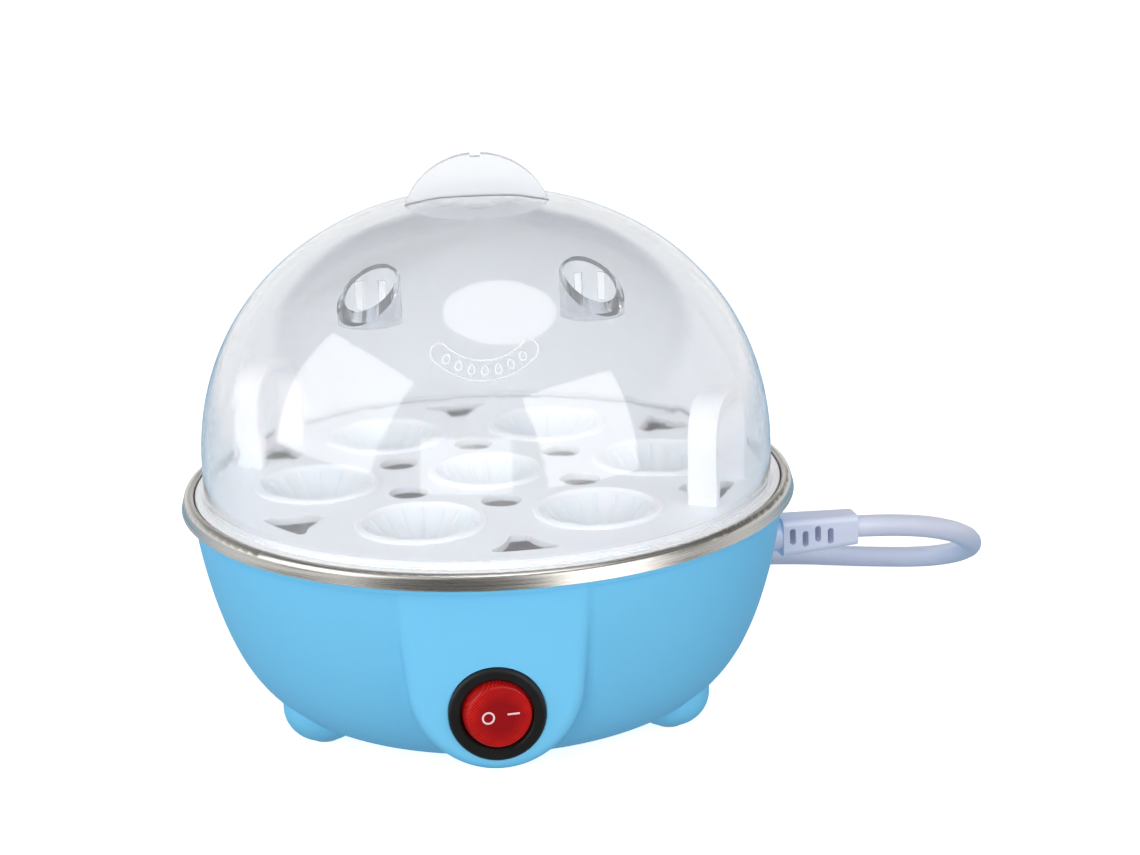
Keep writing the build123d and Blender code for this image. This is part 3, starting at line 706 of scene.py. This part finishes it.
def ring_of(bm, centre, half, power, segments=48):
    """Ring across X with the given half width and height, from round (2) to nearly square (6)."""
    ring = bmesh.ops.create_circle(bm, segments=segments, radius=1.0)["verts"]
    for vert in ring:
        turn = math.atan2(vert.co.y, vert.co.x)
        c, s = math.cos(turn), math.sin(turn)
        reach = (abs(c) ** power + abs(s) ** power) ** (-1 / power)
        vert.co = centre + Vector((0, c * reach * half[0], s * reach * half[1]))
    return ring


def sleeve_of(bm, rings):
    """Joins neighbouring rings with walls."""
    for one, other in zip(rings, rings[1:]):
        edges = {e for v in one for e in v.link_edges if e.other_vert(v) in one}
        edges |= {e for v in other for e in v.link_edges if e.other_vert(v) in other}
        bmesh.ops.bridge_loops(bm, edges=list(edges))


class COOKER_OT_plug(bpy.types.Operator):
    """Make the moulded body of the mains plug, with its ribbed tail and finger grips"""

    bl_idname = "cooker.plug"
    bl_label = "Plug"

    def execute(self, context):
        low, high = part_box("plug_body")
        middle = (low + high) / 2
        bm = bmesh.new()
        # Distance from the tail's end, half width, half height and squareness, in millimetres.
        stations = [(0.0, 3.6, 3.6, 2.0), (0.6, 4.1, 4.1, 2.0)]
        for rib in range(4):
            start = 1.8 + 3.8 * rib
            grow = 0.25 * rib
            stations += [
                (start, 4.2 + grow, 4.2 + grow, 2.2),
                (start + 0.2, 3.6 + grow, 3.6 + grow, 2.2),
                (start + 1.3, 3.6 + grow, 3.6 + grow, 2.2),
                (start + 1.5, 4.2 + grow, 4.2 + grow, 2.2),
            ]
        stations += [
            (17.5, 5.4, 5.2, 2.6),
            (19.0, 7.0, 6.2, 3.0),
            (21.5, 8.2, 7.0, 3.2),
            (27.0, 8.9, 7.3, 3.4),
            (33.0, 9.2, 7.2, 3.6),
            (40.0, 10.4, 7.8, 4.0),
            (46.0, 11.7, 8.6, 4.5),
            (48.6, 12.0, 8.8, 5.0),
            (49.6, 11.8, 8.6, 5.0),
            (50.0, 11.2, 8.0, 5.0),
        ]
        rings = [
            ring_of(bm, Vector((high.x - d * MM, middle.y, middle.z)), (w * MM, h * MM), square)
            for d, w, h, square in stations
        ]
        sleeve_of(bm, rings)
        for ring in (rings[0], rings[-1]):
            bmesh.ops.contextual_create(bm, geom=ring)
        # Four finger grips stand on each flat side of the grip.
        for side in (-1, 1):
            for step in range(4):
                grip = bmesh.ops.create_cube(bm, size=1.0)["verts"]
                bmesh.ops.scale(bm, verts=grip, vec=(1.1 * MM, 9.0 * MM, 1.0 * MM))
                bmesh.ops.translate(
                    bm,
                    verts=grip,
                    vec=(high.x - (27.5 + 2.6 * step) * MM, middle.y, middle.z + side * 7.25 * MM),
                )
                bmesh.ops.bevel(
                    bm,
                    geom=list({e for v in grip for e in v.link_edges}),
                    offset=0.35 * MM,
                    affect="EDGES",
                    segments=2,
                    profile=0.5,
                    material=-1,
                )
        plug = piece_from(bm, "plug_shell", finish_of(context, "lead_pvc"), "base")
        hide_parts("plug_body")
        return {"FINISHED"}


class COOKER_OT_tie(bpy.types.Operator):
    """Make the strap that holds the put-away coil"""

    bl_idname = "cooker.tie"
    bl_label = "Tie"

    def execute(self, context):
        low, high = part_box("cord_tie")
        middle = (low + high) / 2
        half = ((high.y - low.y) / 2, (high.z - low.z) / 2)
        width = (high.x - low.x) / 2
        bm = bmesh.new()
        rings = [
            ring_of(bm, middle + Vector((shift * width, 0, 0)), half, 3.4)
            for shift in (-1, -0.92, 0.92, 1)
        ]
        sleeve_of(bm, rings)
        bmesh.ops.recalc_face_normals(bm, faces=bm.faces)
        bmesh.ops.solidify(bm, geom=list(bm.faces), thickness=0.8 * MM)
        # The loose tongue lies back along the outside of the strap.
        tongue = bmesh.ops.create_cube(bm, size=1.0)["verts"]
        bmesh.ops.scale(bm, verts=tongue, vec=(6.4 * MM, 0.8 * MM, 5.5 * MM))
        bmesh.ops.translate(
            bm, verts=tongue, vec=(middle.x, high.y + 0.35 * MM, middle.z - 0.2 * MM)
        )
        bmesh.ops.bevel(
            bm,
            geom=list({e for v in tongue for e in v.link_edges}),
            offset=0.3 * MM,
            affect="EDGES",
            segments=2,
            profile=0.5,
            material=-1,
        )
        tie = piece_from(
            bm, "hook_and_loop_tie", finish_of(context, "tie_nylon"), "base"
        )
        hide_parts("cord_tie")
        return {"FINISHED"}


# ---- tray and lid details ---------------------------------------------------------------------

DECK_Z = 62.5
POCKETS = [(44.5, 37.5 + 60 * k, 16.4) for k in range(6)] + [(0.0, 0.0, 15.4)]
POCKET_DEPTH = 6.7
POCKET_FLOOR = 7.3
LID_RADIUS = 74.1
LID_SKIRT = 68.5
LID_RISE = 67.7
LID_POWER = 2.13
BADGE_CENTRE = (0.4, 124.5)
BADGE_BOW = 17.5
BADGE_HALF_WIDTH = 2.1
BADGE_REACH = math.radians(38)
EGG_COUNT = 7
EGG_HALF_WIDTH = 0.75
EGG_HALF_HEIGHT = 1.0
EGG_PITCH = math.radians(10.5)


class COOKER_OT_pocket_ribs(bpy.types.Operator):
    """Stand fine ribs on the sloping wall of each egg pocket"""

    bl_idname = "cooker.pocket_ribs"
    bl_label = "Pocket ribs"

    def execute(self, context):
        count = context.scene.cooker.marks.rib_count
        bm = bmesh.new()
        for ring, angle, lip in POCKETS:
            ribs = bpy.data.meshes.new("one_pocket")
            one = bmesh.new()
            top, foot = lip - 2.9, POCKET_FLOOR + 0.3
            fall = POCKET_DEPTH - 0.4
            rib = bmesh.ops.create_cube(one, size=1.0)["verts"]
            length = math.hypot(fall, top - foot)
            bmesh.ops.scale(one, verts=rib, vec=(length * MM, 1.1 * MM, 0.9 * MM))
            bmesh.ops.bevel(
                one,
                geom=list(one.edges),
                offset=0.3 * MM,
                affect="EDGES",
                segments=2,
                profile=0.5,
                material=-1,
            )
            slope = Matrix.Rotation(-math.atan2(fall, top - foot), 3, "Y")
            bmesh.ops.rotate(one, verts=one.verts, matrix=slope)
            half_way = ((top + foot) / 2, 0, DECK_Z - 0.2 - POCKET_DEPTH / 2)
            bmesh.ops.translate(one, verts=one.verts, vec=Vector(half_way) * MM)
            bmesh.ops.spin(
                one,
                geom=list(one.faces),
                cent=(0, 0, 0),
                axis=(0, 0, 1),
                angle=math.tau * (count - 1) / count,
                steps=count - 1,
                use_duplicate=True,
            )
            turn = math.radians(angle)
            place = Vector((ring * math.sin(turn), -ring * math.cos(turn), 0)) * MM
            bmesh.ops.translate(one, verts=one.verts, vec=place)
            one.to_mesh(ribs)
            one.free()
            bm.from_mesh(ribs)
            bpy.data.meshes.remove(ribs)
        piece_from(bm, "pocket_ribs", finish_of(context, "white_pp"), "tray")
        return {"FINISHED"}


def on_lid(across, height):
    """Point of the lid's outer skin, at the front, from its place across and its height."""
    reach = LID_RADIUS * (1 - ((height - LID_SKIRT) / LID_RISE) ** LID_POWER) ** (1 / LID_POWER)
    return Vector((across, -math.sqrt(reach**2 - across**2), height)) * MM


def on_badge(radius, turn):
    """Place across and height on the badge's bow, which hangs from its centre."""
    x, z = BADGE_CENTRE
    return x + radius * math.sin(turn), z - radius * math.cos(turn)


class COOKER_OT_lid_badge(bpy.types.Operator):
    """Raise a bowed badge with a row of seven small eggs on the front of the lid"""

    bl_idname = "cooker.lid_badge"
    bl_label = "Lid badge"

    def execute(self, context):
        # Up one side of the bow, round its end, back along the other side, and round again.
        outline = []
        for side in (1, -1):
            for k in range(25):
                turn = side * BADGE_REACH * (k / 12 - 1)
                outline.append(on_badge(BADGE_BOW + side * BADGE_HALF_WIDTH, turn))
            for k in range(1, 12):
                cap = math.pi * k / 12
                radius = BADGE_BOW + side * BADGE_HALF_WIDTH * math.cos(cap)
                past = BADGE_HALF_WIDTH * math.sin(cap) / BADGE_BOW
                outline.append(on_badge(radius, side * (BADGE_REACH + past)))
        lines = [outline]
        for egg in range(EGG_COUNT):
            middle = EGG_PITCH * (egg - (EGG_COUNT - 1) / 2)
            shell = []
            for k in range(24):
                up = math.cos(math.tau * k / 24)
                # An egg is narrower towards its upper end.
                aside = EGG_HALF_WIDTH * (1 - 0.16 * up) * math.sin(math.tau * k / 24)
                shell.append(on_badge(BADGE_BOW - EGG_HALF_HEIGHT * up, middle + aside / BADGE_BOW))
            lines.append(shell)
        curve = bpy.data.curves.new("badge_lines", "CURVE")
        curve.dimensions = "3D"
        curve.bevel_depth = context.scene.cooker.marks.badge_relief
        curve.bevel_resolution = 2
        for line in lines:
            spline = curve.splines.new("POLY")
            spline.points.add(len(line) - 1)
            for place, point in zip(spline.points, line):
                place.co = (*on_lid(*point), 1.0)
            spline.use_cyclic_u = True
        drawn = bpy.data.objects.new("badge_lines", curve)
        context.scene.collection.objects.link(drawn)
        graph = context.evaluated_depsgraph_get()
        mesh = bpy.data.meshes.new_from_object(drawn.evaluated_get(graph))
        bpy.data.objects.remove(drawn)
        bm = bmesh.new()
        bm.from_mesh(mesh)
        bpy.data.meshes.remove(mesh)
        piece_from(bm, "lid_badge", finish_of(context, "frosted_ps"), "lid", 60)
        return {"FINISHED"}


# ---- switch marks -----------------------------------------------------------------------------


class COOKER_OT_switch_marks(bpy.types.Operator):
    """Print the off ring and the on bar on the rocker's face"""

    bl_idname = "cooker.switch_marks"
    bl_label = "Switch marks"

    def execute(self, context):
        thick = context.scene.cooker.marks.print_thickness
        low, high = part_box("rocker_pin")
        hinge = (low + high) / 2
        bm = bmesh.new()
        # Off ring, 3.2 mm across, on the raised side.
        ring = bmesh.ops.create_circle(bm, segments=64, radius=1.6 * MM)["verts"]
        inner = bmesh.ops.create_circle(bm, segments=64, radius=1.15 * MM)["verts"]
        edges = list({e for v in ring + inner for e in v.link_edges})
        bmesh.ops.bridge_loops(bm, edges=edges)
        bmesh.ops.translate(bm, verts=ring + inner, vec=(-2.9 * MM, 0, 0))
        # On bar, 3 mm long, lying across the face.
        bar = bmesh.ops.create_grid(bm, x_segments=6, y_segments=1, size=0.5)["verts"]
        bmesh.ops.scale(bm, verts=bar, vec=(3.0 * MM, 0.46 * MM, 1))
        bmesh.ops.translate(bm, verts=bar, vec=(3.3 * MM, 0.5 * MM, 0))
        raised = bmesh.ops.extrude_face_region(bm, geom=list(bm.faces))
        tops = [v for v in raised["geom"] if isinstance(v, bmesh.types.BMVert)]
        bmesh.ops.translate(bm, verts=tops, vec=(0, 0, thick + 0.05 * MM))
        # Face plane: out of the ball's centre along the face's normal.
        ball, face = 8.6 * MM, 7.7 * MM
        out = math.sqrt(ball**2 - face**2) - 0.05 * MM
        bmesh.ops.translate(bm, verts=bm.verts, vec=(0, 0, out))
        place = (
            Matrix.Translation(hinge)
            @ Matrix.Rotation(ROCKER_TILT, 4, "Z")
            @ Matrix.Rotation(math.radians(90), 4, "X")
        )
        bmesh.ops.transform(bm, matrix=place, verts=bm.verts)
        piece_from(bm, "switch_marks", finish_of(context, "print_ink"), "rocker")
        return {"FINISHED"}


# ---- carried-over nodes -----------------------------------------------------------------------


class COOKER_OT_finishes(bpy.types.Operator):
    """Give every carried-over node the finish of its record slot"""

    bl_idname = "cooker.finishes"
    bl_label = "Finishes"

    def execute(self, context):
        for row in frame["record"]["subparts"]:
            node = frame["nodes"][row["node"]]
            material = finish_of(context, row["material_slot"])
            if not node.data.materials:
                node.data.materials.append(material)
            for place in node.material_slots:
                place.material = material
        return {"FINISHED"}


# ---- studio -----------------------------------------------------------------------------------


# The cooker stands left of and below the middle of the picture.
OFF_CENTRE = (-0.02684, -0.01926, -1)


def aim(origin, target):
    """Rotation that turns a light's or camera's -Z towards a target."""
    return (Vector(target) - Vector(origin)).to_track_quat("-Z", "Y").to_euler()


def softbox(scene, name, azimuth, elevation, distance, size, power, shape):
    """Soft light that faces the lid. Azimuth 0 is the front and turns towards +X."""
    a, e = math.radians(azimuth), math.radians(elevation)
    centre = Vector((0, 0, 90 * MM))
    out = Vector((math.sin(a) * math.cos(e), -math.cos(a) * math.cos(e), math.sin(e)))
    place = centre + distance * out
    light = bpy.data.lights.new(name, "AREA")
    light.shape = shape
    light.size, light.size_y = size
    light.energy = power
    lamp = bpy.data.objects.new(name, light)
    lamp.location = place
    lamp.rotation_euler = aim(place, centre)
    lamp.visible_camera = False
    scene.collection.objects.link(lamp)
    return lamp


class COOKER_OT_stage(bpy.types.Operator):
    """Set up the camera, the soft lights and the pale floor"""

    bl_idname = "cooker.stage"
    bl_label = "Studio"

    def execute(self, context):
        scene = context.scene
        settings = scene.cooker.stage
        rim_centre = Vector((0, 0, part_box("heating_pan")[1].z - 3 * MM))
        e = settings.elevation
        back = Vector((0, -math.cos(e), math.sin(e)))
        right = Vector((1, 0, 0))
        upward = back.cross(right)
        basis = Matrix((right, upward, back)).transposed().to_4x4()
        aside = Vector(OFF_CENTRE).normalized()
        turn = aside.rotation_difference(Vector((0, 0, -1))).to_matrix().to_4x4()
        camera = bpy.data.cameras.new("studio_camera")
        camera.sensor_width = 36.0
        camera.lens = settings.lens
        camera.clip_start, camera.clip_end = 0.01, 100
        eye = bpy.data.objects.new("studio_camera", camera)
        eye.matrix_world = (
            Matrix.Translation(rim_centre + settings.distance * back)
            @ basis
            @ Matrix.Rotation(-settings.roll, 4, "Z")
            @ turn
        )
        scene.collection.objects.link(eye)
        scene.camera = eye

        for name, azimuth, elevation, distance, size, power, glint, shape in (
            ("left_softbox", -66, 26, 0.62, (0.54, 0.5), 1.3, 1.05, "RECTANGLE"),
            ("right_softbox", 40, 19, 0.66, (0.46, 0.5), 1.15, 1.05, "RECTANGLE"),
            ("top_octabox", 35, 80, 0.8, (0.5, 0.5), 1.2, 0.5, "DISK"),
        ):
            softbox(scene, name, azimuth, elevation, distance, size, power, shape)
            shine = softbox(
                scene, f"{name}_glint", azimuth, elevation, distance + 0.01, size, glint, shape
            )
            shine.visible_diffuse = False
        fill = softbox(scene, "front_fill", -8, 10, 0.95, (0.6, 0.4), 4.9, "RECTANGLE")
        fill.visible_glossy = False

        world = bpy.data.worlds.new("studio_room")
        world.use_nodes = True
        tree = world.node_tree
        tree.nodes.clear()
        where = add_node(tree, "ShaderNodeTexCoord").outputs["Generated"]
        axes = add_node(tree, "ShaderNodeSeparateXYZ", {"Vector": where})
        # A white sweep stands behind the cooker, up to about 22 degrees above the horizon. The
        # room round it is grey, and darkest behind the camera.
        # The floor behind and under the bowl is shaded, and takes some of its blue.
        ramps = {}
        for key, axis, start, end, first, last in (
            ("low", "Z", 0.34, 0.44, 1.0, 0.0),
            ("behind", "Y", -0.35, 0.15, 0.0, 1.0),
            ("ahead", "Y", -0.9, -0.4, 1.0, 0.0),
            ("under", "Z", -0.16, -0.04, 1.0, 0.0),
            ("shaded", "Y", -0.3, 0.1, 0.0, 1.0),
        ):
            feeds = {"From Min": start, "From Max": end, "To Min": first, "To Max": last}
            feeds["Value"] = axes.outputs[axis]
            ramps[key] = add_node(tree, "ShaderNodeMapRange", feeds).outputs["Result"]
        sweep, beneath = [
            add_node(tree, "ShaderNodeMath", {0: ramps[one], 1: ramps[other]}, operation="MULTIPLY")
            for one, other in (("low", "behind"), ("under", "shaded"))
        ]
        colour = (0.22, 0.22, 0.22, 1)
        for share, other in (
            (ramps["ahead"], (0.17, 0.17, 0.17, 1)),
            (sweep.outputs["Value"], (1.2, 1.2, 1.2, 1)),
            (beneath.outputs["Value"], (0.3, 0.5, 0.68, 1)),
        ):
            feeds = {0: share, 6: colour, 7: other}
            colour = add_node(tree, "ShaderNodeMix", feeds, data_type="RGBA").outputs[2]
        sky = add_node(tree, "ShaderNodeBackground", {"Color": colour, "Strength": 1.0})
        out = add_node(tree, "ShaderNodeOutputWorld")
        tree.links.new(sky.outputs["Background"], out.inputs["Surface"])
        scene.world = world
        scene.view_settings.view_transform = "Standard"

        # Seamless studio paper: matt white with the faintest cloud.
        paper, ptree, poutput, place = new_material("studio_paper_matt")
        cloud = add_node(ptree, "ShaderNodeTexNoise", {"Vector": place, "Scale": 1.5})
        shade = add_node(
            ptree,
            "ShaderNodeMix",
            {0: cloud.outputs["Fac"], 6: linear("F7F7F8"), 7: linear("FAFAFA")},
            data_type="RGBA",
        )
        surface = add_node(
            ptree,
            "ShaderNodeBsdfPrincipled",
            {
                "Base Color": shade.outputs[2],
                "Roughness": 0.95,
                "Specular IOR Level": 0.1,
                "Emission Color": (1, 1, 1, 1),
                "Emission Strength": 0.72,
            },
        )
        ptree.links.new(surface.outputs["BSDF"], poutput.inputs["Surface"])
        bm = bmesh.new()
        bmesh.ops.create_grid(bm, x_segments=8, y_segments=8, size=settings.floor_size / 2)
        mesh = bpy.data.meshes.new("studio_floor")
        bm.to_mesh(mesh)
        bm.free()
        mesh.materials.append(paper)
        floor = bpy.data.objects.new("studio_floor", mesh)
        scene.collection.objects.link(floor)
        floor.visible_diffuse = False
        floor.visible_glossy = False
        return {"FINISHED"}


class COOKER_PT_panel(bpy.types.Panel):
    """Lists the cooker's settings and its build steps"""

    bl_label = "Egg cooker"
    bl_idname = "COOKER_PT_panel"
    bl_space_type = "VIEW_3D"
    bl_region_type = "UI"
    bl_category = "Egg cooker"

    def draw(self, context):
        settings = context.scene.cooker
        for group in (settings.colours, settings.lead, settings.marks, settings.stage):
            column = self.layout.column(align=True)
            for key in group.__annotations__:
                column.prop(group, key)
        for step in STEPS:
            self.layout.operator(step.bl_idname)


STEPS = (
    COOKER_OT_stage,
    COOKER_OT_plug,
    COOKER_OT_tie,
    COOKER_OT_lead,
    COOKER_OT_finishes,
    COOKER_OT_switch_marks,
    COOKER_OT_pocket_ribs,
    COOKER_OT_lid_badge,
)
GROUPS = (CookerColours, CookerLead, CookerMarks, CookerStage, CookerSettings)


def register():
    for group in GROUPS:
        bpy.utils.register_class(group)
    for step in STEPS:
        bpy.utils.register_class(step)
    bpy.utils.register_class(COOKER_PT_panel)
    bpy.types.Scene.cooker = PointerProperty(type=CookerSettings)
    bpy.types.Scene.cooker_finishes = {}


def unregister():
    del bpy.types.Scene.cooker_finishes
    del bpy.types.Scene.cooker
    bpy.utils.unregister_class(COOKER_PT_panel)
    for step in reversed(STEPS):
        bpy.utils.unregister_class(step)
    for group in reversed(GROUPS):
        bpy.utils.unregister_class(group)


def main():
    register()
    for step in STEPS:
        group, name = step.bl_idname.split(".")
        getattr(getattr(bpy.ops, group), name)()


if __name__ == "__main__":
    main()
